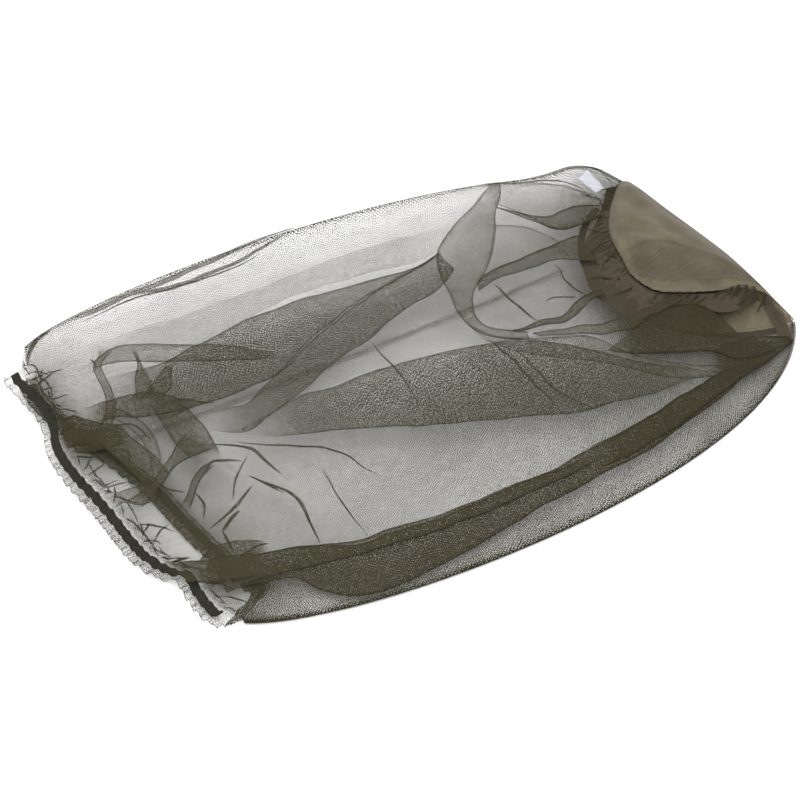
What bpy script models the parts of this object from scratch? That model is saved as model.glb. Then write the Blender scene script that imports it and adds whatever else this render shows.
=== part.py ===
"""Beekeeping veil: a net tube gathered to a round cloth crown, with an elastic neck, lying folded flat.

Metres, +Z up. +X runs from the neck to the crown, +Y across. The veil rests on Z = 0 and the
origin is the middle of its footprint. The crown disc is folded in half along its diameter: the
lower half and the lower layer of net lie flat, the upper half and the upper layer rest on them
as a low dome, and lift about the crown's fold line to open the neck. Along the far side the net
stands off the table in a soft roll.
"""
import math

import bmesh
import bpy
from mathutils import Vector

# ---- Driving dimensions -------------------------------------------------------------------------
FOLD_X = 0.241                  # the crown's fold line, the far end of the veil from the neck
CROWN_RADIUS = 0.090
CROWN_Y = 0.012                 # middle of the fold line across the veil
NECK_X = -0.229                 # where the upper layer of net meets its casing
NECK_Y = 0.010                  # middle of the neck across the veil
NECK_HALF_WIDTH = 0.136         # half the flat width of the gathered neck
CASING_DEPTH = 0.012            # casing and ruffle, measured along the veil
ELASTIC_WIDTH = 0.006
ELASTIC_THICKNESS = 0.0008
ELASTIC_INSET = 0.003           # from the casing's inner edge to the elastic
NET_THICKNESS = 0.0008          # a stand-in for the net and its small wrinkles
CASING_CLOTH = 0.0005
TRIM_THICKNESS = 0.0006         # binding tape and seam allowance
THREAD_RADIUS = 0.00025
GAP = 0.0003                    # left between pieces that touch
LAYER_Z = 0.0036                # middle of the upper layer where it rests on the lower one
NECK_RISE = 0.0125              # height of the upper layer above LAYER_Z, in the middle of the neck
BODY_RISE = 0.024
CROWN_RISE = 0.036
BINDING_WIDTH = 0.010
ROLL_LIFT = 0.024               # how high the far side fold stands off the table
SEAM_WIDTH = 0.005
STITCH_ROW = 0.975              # place of the crown's stitches, as a share of its radius
LABEL_WIDTH = 0.016
LABEL_REACH = 0.062             # the label's length, as a share of the net's from neck to crown
LABEL_PLACE = 0.11              # where the label is sewn, from the crown's far corner to its near one
LABEL_LIFT = 0.0016
MERGE = 0.00001

# The side folds run from the neck to the ends of the crown's fold line, each as one Bezier curve.
FAR_SIDE = [(NECK_X, NECK_Y + NECK_HALF_WIDTH), (-0.165, 0.168), (0.095, 0.174),
            (FOLD_X, CROWN_Y + CROWN_RADIUS + BINDING_WIDTH)]
NEAR_SIDE = [(NECK_X + 0.024, NECK_Y - NECK_HALF_WIDTH), (-0.145, -0.168), (0.165, -0.190),
             (FOLD_X, CROWN_Y - CROWN_RADIUS - BINDING_WIDTH)]
BACK_NECK_SETBACK = (0.005, 0.029)   # how far the lower layer's neck lies behind the upper one's
CROWN_BULGE = 0.070                  # how far the middle of the net stands off the crown's corners

HINGE_Z = LAYER_Z - 0.0010
CASING_HALF = (ELASTIC_THICKNESS / 2) + GAP + (CASING_CLOTH / 2) + 0.0002
BACK_CASING_Z = CASING_HALF + CASING_CLOTH / 2
FLAT_Z = NET_THICKNESS / 2

COLOURS = {
    "net": (0.09, 0.08, 0.055), "crown": (0.12, 0.10, 0.07), "binding": (0.06, 0.05, 0.03),
    "elastic": (0.012, 0.012, 0.009), "thread": (0.05, 0.045, 0.03), "label": (0.85, 0.85, 0.88),
}
ROUGHNESS = {"net": 0.75, "crown": 0.6, "binding": 0.7, "elastic": 0.8, "thread": 0.6, "label": 0.45}


# ---- Helpers ------------------------------------------------------------------------------------
def clear_scene():
    for obj in list(bpy.data.objects):
        bpy.data.objects.remove(obj, do_unlink=True)


def make_collection(name):
    collection = bpy.data.collections.new(name)
    bpy.context.scene.collection.children.link(collection)
    return collection


def make_material(name, finish):
    material = bpy.data.materials.new(name)
    material.use_nodes = True
    shader = material.node_tree.nodes["Principled BSDF"]
    shader.inputs["Base Color"].default_value = (*COLOURS[finish], 1.0)
    shader.inputs["Roughness"].default_value = ROUGHNESS[finish]
    shader.inputs["Metallic"].default_value = 0.0
    return material


def make_axis(collection, name, place):
    """An empty on a joint's axis, which the pieces that move about it hang from."""
    empty = bpy.data.objects.new(name, None)
    empty.location = place
    empty.empty_display_size = 0.03
    collection.objects.link(empty)
    return empty


def add_object(collection, name, data, finish, parent):
    obj = bpy.data.objects.new(name, data)
    obj.data.materials.append(make_material(name, finish))
    collection.objects.link(obj)
    if parent is not None:
        obj.parent = parent
        obj.matrix_parent_inverse.translation = -parent.location
    return obj


def cloth(collection, name, columns, rows, place, thickness, finish, parent=None):
    """A cloth patch: a grid whose points place(u, v) puts in space, thickened by Solidify."""
    mesh = bpy.data.meshes.new(name)
    bm = bmesh.new()
    bmesh.ops.create_grid(bm, x_segments=columns, y_segments=rows, size=0.5)
    for vert in bm.verts:
        vert.co = place(vert.co.x + 0.5, vert.co.y + 0.5)
    bmesh.ops.remove_doubles(bm, verts=bm.verts, dist=MERGE)
    bm.to_mesh(mesh)
    bm.free()
    mesh.shade_smooth()
    obj = add_object(collection, name, mesh, finish, parent)
    wall = obj.modifiers.new("thickness", "SOLIDIFY")
    wall.thickness = thickness
    wall.offset = 0.0
    wall.use_even_offset = True
    return obj


def thread(collection, name, points, parent=None):
    """A sewing thread along a run of points."""
    curve = bpy.data.curves.new(name, "CURVE")
    curve.dimensions = "3D"
    curve.bevel_depth = THREAD_RADIUS
    curve.bevel_resolution = 1
    curve.use_fill_caps = True
    run = curve.splines.new("POLY")
    run.points.add(len(points) - 1)
    for spot, point in zip(run.points, points):
        spot.co = (*point, 1.0)
    return add_object(collection, name, curve, "thread", parent)


def mix(a, b, t):
    return a + (b - a) * t


def bezier(points, t):
    a, b, c, d = points
    s = 1.0 - t
    return s * s * s * a + 3 * s * s * t * b + 3 * s * t * t * c + t * t * t * d


# ---- The veil's own surface ---------------------------------------------------------------------
def bow(v):
    """How far the upper layer stands off the lower one, from 0 at the side folds to 1 between."""
    return max(math.sin(math.pi * v), 0.0) ** 0.7


def crown_edge(v, radius=CROWN_RADIUS):
    """A point on the crown's half circle: v runs from its far corner to its near one."""
    angle = math.pi * (0.5 + v)
    return Vector((FOLD_X + radius * math.cos(angle), CROWN_Y + radius * math.sin(angle)))


def net_plan(u, v, setback=0.0, crown_gap=2 * GAP):
    """Plan of the net: u runs from the neck to the crown, v from the far side fold to the near."""
    neck = Vector((mix(FAR_SIDE[0][0], NEAR_SIDE[0][0], v ** 4) + setback,
                   mix(FAR_SIDE[0][1], NEAR_SIDE[0][1], v)))
    low = Vector(FAR_SIDE[1]).lerp(Vector(NEAR_SIDE[1]), v)
    high = Vector(FAR_SIDE[2]).lerp(Vector(NEAR_SIDE[2]), v)
    high.x -= CROWN_BULGE * math.sin(math.pi * v)
    return bezier([neck, low, high, crown_edge(v, CROWN_RADIUS + crown_gap)], u)


def roll(u, v, reach):
    """Height that the far side's roll gives a layer, gone by v = reach."""
    along = (0.7 + 1.2 * u * (1.0 - u)) * (1.0 - u ** 5)
    return ROLL_LIFT * along * max(1.0 - v / reach, 0.0) ** 1.7


def net_height(u, v):
    """Height of the upper layer."""
    rise = bezier([NECK_RISE, BODY_RISE, BODY_RISE, CROWN_RISE], u)
    return LAYER_Z + (1.0 - u) ** 2 * CASING_HALF + rise * bow(v) + roll(u, v, 0.36)


def upper_net(u, v):
    return Vector((*net_plan(u, v), net_height(u, v)))


def back_setback(v):
    turned = min(max((v - 0.10) / 0.50, 0.0), 1.0)
    return mix(BACK_NECK_SETBACK[0], BACK_NECK_SETBACK[1], turned * turned * (3.0 - 2.0 * turned))


def lower_net(u, v, height=FLAT_Z):
    plan = net_plan(u, v, back_setback(v))
    return Vector((*plan, height + roll(u, v, 0.13)))


def upper_crown(r, v, lift=0.0):
    """The upper half of the crown: r runs from the middle of the fold line to the edge."""
    rim = crown_edge(v)
    middle = Vector((FOLD_X, CROWN_Y))
    height = LAYER_Z + CROWN_RISE * bow(v) * (1.0 - (1.0 - r) ** 2)
    return Vector((*middle.lerp(rim, r), height + lift))


def lower_crown(r, v, height=FLAT_Z):
    plan = Vector((FOLD_X, CROWN_Y)).lerp(crown_edge(v), r)
    return Vector((*plan, height))


def neck_frame(v, upper):
    """A point of the neck edge and the plan direction out of the veil, for either layer."""
    if upper:
        spot = upper_net(0.0, v)
    else:
        spot = lower_net(0.0, v, BACK_CASING_Z)
    return spot, Vector((-1.0, 0.0, 0.0))


def casing_point(along, v, upper):
    """The casing is net turned back on itself: along runs over the top leaf and back below it."""
    spot, out = neck_frame(v, upper)
    half = CASING_DEPTH - 2 * GAP - CASING_HALF
    if along < 0.4:
        reach, lift = half * along / 0.4, CASING_HALF
    elif along > 0.6:
        reach, lift = half * (1.0 - along) / 0.4, -CASING_HALF
    else:
        turn = math.pi * (along - 0.4) / 0.2
        reach, lift = half + CASING_HALF * math.sin(turn), CASING_HALF * math.cos(turn)
    return spot + out * (reach + 2 * GAP) + Vector((0.0, 0.0, lift))


def elastic_point(across, v, upper):
    spot, out = neck_frame(v, upper)
    return spot + out * (ELASTIC_INSET + across * ELASTIC_WIDTH)


def between(start, end, place, *rest):
    """The same patch, but with v kept between start and end."""
    return lambda u, v: place(u, mix(start, end, v), *rest)


# ---- The pieces ---------------------------------------------------------------------------------
def build_net(veil, lift_axis):
    cloth(veil, "net_back", 26, 18, lower_net, NET_THICKNESS, "net")
    cloth(veil, "net_front", 34, 26, upper_net, NET_THICKNESS, "net", lift_axis)


def build_net_seam(veil):
    """The seam that closes the tube, inside the lower layer, and the thread that sews it."""
    middle = 0.36
    half = SEAM_WIDTH / (4 * NECK_HALF_WIDTH)
    height = NET_THICKNESS + GAP + TRIM_THICKNESS / 2

    def seam(u, v):
        return lower_net(mix(0.08, 0.94, u), mix(middle - half, middle + half, v), height)

    cloth(veil, "net_seam", 24, 1, seam, TRIM_THICKNESS, "net")
    sewn = height + TRIM_THICKNESS / 2 + GAP + THREAD_RADIUS
    thread(veil, "net_seam_stitch", [lower_net(mix(0.09, 0.93, i / 24), middle, sewn) for i in range(25)])


def build_crown(veil, lift_axis):
    cloth(veil, "crown_back", 7, 22, lower_crown, NET_THICKNESS, "crown")
    cloth(veil, "crown_front", 8, 24, upper_crown, NET_THICKNESS, "crown", lift_axis)


def binding_reach(v):
    """The binding's width as a share of the net's length, where column v meets the crown."""
    near_end = (net_plan(1.0, v) - net_plan(0.99, v)).length / 0.01
    return BINDING_WIDTH / near_end


def build_crown_binding(veil, lift_axis):
    """The seam where the net is gathered to the crown: the bound allowance lies inside the net."""
    drop = NET_THICKNESS / 2 + GAP + TRIM_THICKNESS / 2 + 0.0003

    def upper(u, v):
        inside = mix(0.14, 0.88, v)
        spot = upper_net(1.0 - binding_reach(inside) * (1.0 - u), inside)
        return spot - Vector((0.0, 0.0, drop))

    def lower(u, v):
        inside = mix(0.14, 0.95, v)
        spot = lower_net(1.0 - binding_reach(inside) * (1.0 - u), inside)
        return spot + Vector((0.0, 0.0, drop - 0.0003))

    cloth(veil, "crown_binding_front", 1, 30, upper, TRIM_THICKNESS, "binding", lift_axis)
    cloth(veil, "crown_binding_back", 1, 30, lower, TRIM_THICKNESS, "binding")
    turns = [mix(0.03, 0.97, i / 30) for i in range(31)]
    above = NET_THICKNESS / 2 + GAP + THREAD_RADIUS
    upper_row = [upper_crown(STITCH_ROW, v, above + 0.0004) for v in turns]
    lower_row = [lower_crown(STITCH_ROW, v, FLAT_Z + above) for v in turns]
    thread(veil, "crown_stitch_front", upper_row, lift_axis)
    thread(veil, "crown_stitch_back", lower_row)


def build_neck(veil, lift_axis):
    """The casing with its ruffle, the elastic inside it, and the thread along its inner edge."""
    for name, upper, parent in (("front", True, lift_axis), ("back", False, None)):
        cloth(veil, "neck_casing_" + name, 10, 22, between(0.01, 0.99, casing_point, upper),
              CASING_CLOTH, "net", parent)
        end = 0.98 if upper else 0.90
        cloth(veil, "neck_elastic_" + name, 1, 22, between(0.02, end, elastic_point, upper),
              ELASTIC_THICKNESS, "elastic", parent)
        row = []
        for i in range(1, 22):
            spot, out = neck_frame(mix(0.01, 0.99, i / 22), upper)
            up = CASING_HALF + CASING_CLOTH / 2 + GAP + THREAD_RADIUS
            row.append(spot + out * 0.0016 + Vector((0.0, 0.0, up)))
        thread(veil, "neck_stitch_" + name, row, parent)


def build_elastic_join(veil):
    """Where the elastic's two ends lie on each other and are sewn into a loop."""
    cloth(veil, "elastic_join", 1, 3, between(0.903, 0.950, elastic_point, False),
          ELASTIC_THICKNESS + 0.0003, "elastic")


def label_point(u, v):
    """The care label lies on the upper layer: u across it, v from its sewn edge outwards."""
    across = (u - 0.5) * LABEL_WIDTH / (math.pi * CROWN_RADIUS)
    spot = upper_net(1.0 - v * LABEL_REACH, LABEL_PLACE + across)
    return spot + Vector((0.0, 0.0, LABEL_LIFT))


def build_label(veil, flip_axis):
    cloth(veil, "care_label", 3, 4, label_point, TRIM_THICKNESS, "label", flip_axis)


def main():
    clear_scene()
    veil = make_collection("beekeeping_veil")
    lift_axis = make_axis(veil, "neck_open_axis", (FOLD_X, CROWN_Y, HINGE_Z))
    flip_axis = make_axis(veil, "label_flip_axis", label_point(0.5, 0.0))
    build_net(veil, lift_axis)
    build_net_seam(veil)
    build_crown(veil, lift_axis)
    build_crown_binding(veil, lift_axis)
    build_neck(veil, lift_axis)
    build_elastic_join(veil)
    build_label(veil, flip_axis)


main()
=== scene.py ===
# %% [markdown]
# # A beekeeping veil, lying folded flat
#
# The real veil is a tube of fine soft net. One end is gathered onto a round crown of woven
# cloth, the other is gathered onto a band of elastic. Here it lies collapsed on a table with
# its crown folded in half, so that everything is seen through two layers of net.
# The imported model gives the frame: its bodies, its joints and its box. Every piece below
# stands where that model says, and adds the net, folds, gathers and stitches.

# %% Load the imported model
import math

import bmesh
import bpy
import numpy as np
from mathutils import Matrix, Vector
from mathutils.bvhtree import BVHTree


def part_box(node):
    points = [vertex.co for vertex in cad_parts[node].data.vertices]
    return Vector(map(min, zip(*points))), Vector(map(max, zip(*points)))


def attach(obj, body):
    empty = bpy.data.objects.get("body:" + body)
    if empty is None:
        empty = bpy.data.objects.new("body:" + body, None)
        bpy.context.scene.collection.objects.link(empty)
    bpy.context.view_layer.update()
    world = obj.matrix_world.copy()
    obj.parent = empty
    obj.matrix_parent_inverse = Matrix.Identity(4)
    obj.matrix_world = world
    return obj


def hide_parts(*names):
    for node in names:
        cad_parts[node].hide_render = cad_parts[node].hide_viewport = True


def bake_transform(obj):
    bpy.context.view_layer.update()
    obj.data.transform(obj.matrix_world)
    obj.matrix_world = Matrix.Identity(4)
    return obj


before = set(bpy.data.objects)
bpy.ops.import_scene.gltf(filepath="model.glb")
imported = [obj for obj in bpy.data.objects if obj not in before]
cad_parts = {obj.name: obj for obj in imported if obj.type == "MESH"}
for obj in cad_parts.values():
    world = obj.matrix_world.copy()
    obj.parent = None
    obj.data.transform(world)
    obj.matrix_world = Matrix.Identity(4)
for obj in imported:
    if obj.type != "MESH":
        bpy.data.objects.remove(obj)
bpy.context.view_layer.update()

# %% [markdown]
# ## Camera, table and light
#
# The view is from the near side, 42 degrees above the table, with a long lens so that the far
# end is hardly smaller than the near one. Net shows its holes best over a bright table: the
# table is lit until it is white, and each layer of net then takes its share of that light away.
# Two wide lamps stand to the left, a weaker one behind the veil and a stronger one on the
# camera's side, and the sky fills in the rest.

# %% Camera
CAMERA_AT = Vector((-0.51007, -0.80085, 0.83641))
CAMERA_AIM = Vector((-0.02857, -0.00645, 0.0))
FOCAL_LENGTH = 86.7                # millimetres, on a sensor 36 mm wide
LAYERS_SEEN_THROUGH = 64           # clear surfaces that one ray may pass

lens = bpy.data.cameras.new("camera")
lens.lens = FOCAL_LENGTH
lens.sensor_width = 36.0
lens.clip_start = 0.01
camera = bpy.data.objects.new("camera", lens)
camera.location = CAMERA_AT
camera.rotation_euler = (CAMERA_AIM - CAMERA_AT).to_track_quat("-Z", "Y").to_euler()
bpy.context.collection.objects.link(camera)
bpy.context.scene.camera = camera
bpy.context.scene.view_settings.view_transform = "Standard"
bpy.context.scene.cycles.transparent_max_bounces = LAYERS_SEEN_THROUGH
print("camera stands", round((CAMERA_AIM - CAMERA_AT).length, 3), "m away")


# %% Table and lamps
SKY_STRENGTH = 0.48
TABLE_REACH = 4.0
TABLE_GAP = 0.0002                 # keeps the table's top from touching the cloth


def area_lamp(name, place, size, power):
    """A square soft lamp at place, turned towards the middle of the veil."""
    data = bpy.data.lights.new(name, "AREA")
    data.shape = "SQUARE"
    data.size = size
    data.energy = power
    lamp = bpy.data.objects.new(name, data)
    lamp.location = place
    lamp.rotation_euler = (Vector((0.0, 0.0, 0.0)) - Vector(place)).to_track_quat("-Z", "Y").to_euler()
    bpy.context.collection.objects.link(lamp)


area_lamp("lamp_behind", (-0.6, 1.1, 2.2), 1.6, 46.0)
area_lamp("lamp_front", (-0.5, -1.1, 2.1), 1.8, 84.0)

world = bpy.data.worlds.new("studio")
bpy.context.scene.world = world
world.use_nodes = True
sky = world.node_tree.nodes["Background"]
sky.inputs["Color"].default_value = (1.0, 1.0, 1.0, 1.0)
sky.inputs["Strength"].default_value = SKY_STRENGTH

table_mesh = bpy.data.meshes.new("table")
bm = bmesh.new()
bmesh.ops.create_grid(bm, x_segments=1, y_segments=1, size=TABLE_REACH)
bmesh.ops.translate(bm, verts=bm.verts, vec=(0.0, 0.0, -TABLE_GAP))
bm.to_mesh(table_mesh)
bm.free()
table = bpy.data.objects.new("table", table_mesh)
bpy.context.collection.objects.link(table)

# %% [markdown]
# ## Shader sums
#
# A woven pattern is arithmetic: waves, thresholds and products of where the point lies on the
# cloth. Wiring such sums by hand is long, so a small class holds one socket and lets Python's
# own signs add the nodes. A second one keeps a material's node tree.


# %% Sums on sockets, and a material to hold them
class Wire:
    """One output socket. Adding, taking away and so on put the Math node that does it in the tree."""

    def __init__(self, finish, socket):
        self.finish = finish
        self.socket = socket

    def math(self, operation, *others):
        return self.finish.node("ShaderNodeMath", {"operation": operation}, (self, *others))

    def __add__(self, other):
        return self.math("ADD", other)

    __radd__ = __add__

    def __mul__(self, other):
        return self.math("MULTIPLY", other)

    __rmul__ = __mul__

    def __sub__(self, other):
        return self.math("SUBTRACT", other)

    def __rsub__(self, other):
        return self.finish.node("ShaderNodeMath", {"operation": "SUBTRACT"}, (other, self))

    def __truediv__(self, other):
        return self.math("DIVIDE", other)

    def clamped(self):
        return self.finish.node("ShaderNodeClamp", {}, (self,))


class Finish:
    """A material with one Principled shader, and the nodes that feed it."""

    def __init__(self, name, **constants):
        self.material = bpy.data.materials.new(name)
        self.material.use_nodes = True
        self.tree = self.material.node_tree
        self.shader = self.tree.nodes["Principled BSDF"]
        for socket, value in constants.items():
            self.shader.inputs[socket.replace("_", " ")].default_value = value

    def node(self, kind, settings, values, output=0):
        """Add a node: its settings first, then values or wires for its inputs, by place or by name."""
        made = self.tree.nodes.new(kind)
        for setting, value in settings.items():
            setattr(made, setting, value)
        items = values.items() if isinstance(values, dict) else enumerate(values)
        for key, value in items:
            if isinstance(value, Wire):
                self.tree.links.new(value.socket, made.inputs[key])
            else:
                made.inputs[key].default_value = value
        return Wire(self, made.outputs[output])

    def feed(self, socket, wire):
        self.tree.links.new(wire.socket, self.shader.inputs[socket])

    def cloth_place(self):
        """Where the point lies on its own cloth, in metres."""
        return self.node("ShaderNodeUVMap", {"uv_map": "weave"}, ())

    def attribute(self, name):
        return self.node("ShaderNodeAttribute", {"attribute_name": name}, (), "Fac")

    def noise(self, place, scale, detail=2.0, roughness=0.5):
        values = {"Vector": place, "Scale": scale, "Detail": detail, "Roughness": roughness}
        return self.node("ShaderNodeTexNoise", {}, values)

    def stretched(self, place, scale):
        return self.node("ShaderNodeMapping", {}, {"Vector": place, "Scale": scale})

    def between(self, factor, dark, light):
        """A colour between two, by factor."""
        made = self.tree.nodes.new("ShaderNodeMix")
        made.data_type = "RGBA"
        self.tree.links.new(factor.socket, made.inputs["Factor"])
        made.inputs[6].default_value = (*dark, 1.0)
        made.inputs[7].default_value = (*light, 1.0)
        return Wire(self, made.outputs[2])


# %% [markdown]
# ## The net's finish
#
# The net is knitted polyester tulle: six-sided holes about 1.4 mm across. Three waves of
# cosine at 60 degrees to each other add up to a honeycomb, low along its threads and high in
# its holes, and a little noise in the place keeps the holes from being all alike. Where the sum
# is under a limit there is thread, elsewhere the cloth is clear, and the limit rises with the
# closeness of the threads that each piece carries as an attribute, so that gathers close up.

# %% Net
HOLE = 0.0014                      # from one hole's middle to the next
THREAD_COLOUR = (0.057, 0.052, 0.032)
# The second colour is the same thread, darkened as painted shade for folds and gathers.
FOLD_SHADE_COLOUR = (0.022, 0.019, 0.009)
UNEVEN = (0.0018, 0.0018, 0.0)     # how far the noise may move a hole
THREAD_EDGE = 0.35                 # how softly a thread ends, on the honeycomb's scale


def net_finish():
    finish = Finish("tulle", Roughness=0.85, Specular_IOR_Level=0.06)
    place = finish.cloth_place()
    wave = 4.0 * math.pi / (math.sqrt(3.0) * HOLE)
    jitter = finish.node("ShaderNodeTexNoise", {},
                         {"Vector": place, "Scale": 420.0, "Detail": 1.0}, "Color")
    place = finish.node("ShaderNodeVectorMath", {"operation": "MULTIPLY_ADD"},
                        {0: jitter, 1: UNEVEN, 2: place}, "Vector")
    honeycomb = 0.0
    for degrees in (0, 60, 120):
        turn = math.radians(degrees)
        direction = (wave * math.cos(turn), wave * math.sin(turn), 0.0)
        along = finish.node("ShaderNodeVectorMath", {"operation": "DOT_PRODUCT"},
                            {0: place, 1: direction}, "Value")
        honeycomb = along.math("COSINE") + honeycomb
    streaks = finish.noise(finish.stretched(place, (30.0, 260.0, 1.0)), 1.0, 3.0)
    clouds = finish.noise(place, 22.0, 3.0)
    closeness_and_shade = finish.attribute("closeness_and_shade") * (0.62 + 0.40 * streaks + 0.36 * clouds)
    # The limit rises evenly with the closeness at first, and fast once the threads nearly touch.
    limit = -1.42 + 2.0 * closeness_and_shade + closeness_and_shade.math("POWER", 4.0) * 3.2
    finish.feed("Alpha", ((limit - honeycomb) / THREAD_EDGE + 0.5).clamped())
    # Painted shade: where the threads stand close, in folds and gathers, their colour darkens towards the
    # darker fold colour.
    finish.feed("Base Color", finish.between((closeness_and_shade * 1.6 - 0.2).clamped(), THREAD_COLOUR, FOLD_SHADE_COLOUR))
    return finish.material


NET = net_finish()
print("net:", len(NET.node_tree.nodes), "nodes")

# %% [markdown]
# ## How a cloth is laid
#
# Every cloth here starts as a flat grid, one square for each bit of cloth, and a function says
# where each point of it lies: u runs along the cloth and v across it, both from 0 to 1. The
# function also gives the threads' closeness, from 0 for clear to 1 for shut; on the net the same
# number darkens the colour as painted shade, and on the crown it carries painted shade and light.
# The grid's UV map keeps the flat cloth's own metres, so the net's holes follow the cloth into
# every fold.


# %% Laying cloth
WELD = 0.00002                     # points of a closed fold nearer than this become one


def mix(a, b, t):
    return a + (b - a) * t


def smooth(t):
    t = np.clip(t, 0.0, 1.0)
    return t * t * (3.0 - 2.0 * t)


def swelling(t, power):
    """0 at both ends of 0..1 and 1 in the middle: a lower power gives a broader middle."""
    return np.sin(math.pi * np.clip(t, 0.0, 1.0)) ** power


def flat_tube(v, power):
    """Round a flattened tube: how far across it v lies, 0 to 1, and how high, -1 to 1."""
    turn = 2.0 * math.pi * v
    side = np.sin(turn)
    return 0.5 - 0.5 * np.cos(turn), np.sign(side) * np.abs(side) ** power


def metres(points):
    """The lists of points are in millimetres, as a maker would note them; all else is in metres."""
    return np.array(points, float) / 1000.0


def smooth_line(points):
    """A smooth curve through points: a function from 0..1, by length, to places on it."""
    points = np.array(points, float)
    padded = np.vstack([2 * points[0] - points[1], points, 2 * points[-1] - points[-2]])
    fine = []
    for a, b, c, d in zip(padded, padded[1:], padded[2:], padded[3:]):
        for t in np.linspace(0.0, 1.0, 16, endpoint=False):
            fine.append(0.5 * (2 * b + (c - a) * t + (2 * a - 5 * b + 4 * c - d) * t * t
                               + (3 * b - a - 3 * c + d) * t ** 3))
    fine = np.array(fine + [points[-1]])
    length = np.concatenate([[0.0], np.cumsum(np.linalg.norm(np.diff(fine, axis=0), axis=1))])

    def at(t):
        reached = np.clip(t, 0, 1) * length[-1]
        return np.column_stack([np.interp(reached, length, column) for column in fine.T])

    at.length = length[-1]
    return at


def bezier(points, t):
    a, b, c, d = points
    s = 1.0 - t
    return s * s * s * a + 3.0 * s * s * t * b + 3.0 * s * t * t * c + t * t * t * d


def cloth_piece(name, shapes, along, across, finish, cloth_sizes, weld=0.0):
    """One object with a grid for each shape. A shape gives x, y, z and closeness, which also carries
    painted shade.
    """
    bm = bmesh.new()
    for _ in shapes:
        bmesh.ops.create_grid(bm, x_segments=along, y_segments=across, size=0.5)
    mesh = bpy.data.meshes.new(name)
    bm.to_mesh(mesh)
    bm.free()
    flat = np.empty(len(mesh.vertices) * 3, np.float32)
    mesh.vertices.foreach_get("co", flat)
    flat = flat.reshape(len(shapes), -1, 3)[..., :2].astype(float) + 0.5
    laid = [np.column_stack(np.broadcast_arrays(*shape(part[:, 0], part[:, 1])))
            for shape, part in zip(shapes, flat)]
    laid = np.concatenate(laid)
    mesh.vertices.foreach_set("co", laid[:, :3].astype(np.float32).ravel())
    corners = np.empty(len(mesh.loops), np.int32)
    mesh.loops.foreach_get("vertex_index", corners)
    cloth = (flat * np.asarray(cloth_sizes, float).reshape(-1, 1, 2)).reshape(-1, 2)
    weave = mesh.uv_layers.new(name="weave")
    weave.data.foreach_set("uv", cloth[corners].astype(np.float32).ravel())
    threads = mesh.attributes.new("closeness_and_shade", "FLOAT", "POINT")
    threads.data.foreach_set("value", laid[:, 3].astype(np.float32))
    if weld:
        bm = bmesh.new()
        bm.from_mesh(mesh)
        bmesh.ops.remove_doubles(bm, verts=bm.verts, dist=weld)
        bmesh.ops.recalc_face_normals(bm, faces=bm.faces)
        bm.to_mesh(mesh)
        bm.free()
    mesh.shade_smooth()
    mesh.materials.append(finish)
    piece = bpy.data.objects.new(name, mesh)
    bpy.context.collection.objects.link(piece)
    print(name, "-", len(mesh.polygons), "faces")
    return piece


def cloth_area(piece):
    return sum(face.area for face in piece.data.polygons)


# %% [markdown]
# ## The veil's outline
#
# The tube lies flat, so it has two side folds. Each runs from the neck to an end of the
# crown's fold line in one easy curve, and between them the upper layer is a low dome that
# still holds some air. Along the far side the net stands off the table in a soft roll.

# %% Outline and height
FOLD_X = 0.241                     # the crown's fold line
CROWN_RADIUS = 0.090
CROWN_Y = 0.012
NECK_X = -0.229
NECK_Y = 0.010
NECK_HALF_WIDTH = 0.136
CROWN_BULGE = 0.070
LAYER_Z = 0.0036                   # the upper layer where it rests on the lower one
FLAT_Z = 0.0006                    # the lower layer where it lies on the table
ROLL_LIFT = 0.024
UPPER_ROLL = 0.36                  # the share of each layer's width that the far side's roll takes
LOWER_ROLL = 0.13
SEAM_GAP = 0.0006                  # from the crown's edge to the end of the net
CLOTH_LENGTH = 0.485               # neck to crown, along the net
CLOTH_WIDTH = 0.345                # one layer, side fold to side fold

FAR_SIDE = [(NECK_X, NECK_Y + NECK_HALF_WIDTH), (-0.165, 0.168), (0.095, 0.174)]
NEAR_SIDE = [(NECK_X + 0.024, NECK_Y - NECK_HALF_WIDTH), (-0.145, -0.168), (0.165, -0.190)]
BACK_SETBACK = (0.005, 0.032)      # how far the lower layer's neck lies behind the upper one's
# The neck's bends, as its share of the way across and how far it stands off its straight line.
NECK_WAVE = [(0.0, 0.006), (0.04, 0.0), (0.09, -0.005), (0.15, -0.003), (0.22, 0.0), (0.28, -0.002),
             (0.34, -0.0075), (0.42, -0.0095), (0.54, -0.008), (0.64, -0.008), (0.73, -0.008),
             (0.79, -0.005), (0.815, -0.001), (0.84, 0.004), (0.88, 0.001), (0.94, -0.002), (1.0, 0.0)]


def bow(v):
    return np.maximum(np.sin(math.pi * v), 0.0) ** 0.7


def crown_round(v, radius):
    angle = math.pi * (0.5 + v)
    return FOLD_X + radius * np.cos(angle), CROWN_Y + radius * np.sin(angle)


def side_roll(u, v, reach):
    """The soft roll that lifts the far side: reach is the share of the width that it takes."""
    along = (0.7 + 1.2 * u * (1.0 - u)) * (1.0 - u ** 10)
    by_crown = 0.55 * np.exp(-((u - 0.93) / 0.055) ** 2) * (1.0 - u ** 30)
    return ROLL_LIFT * (along + by_crown) * np.maximum(1.0 - v / reach, 0.0) ** 1.7


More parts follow.
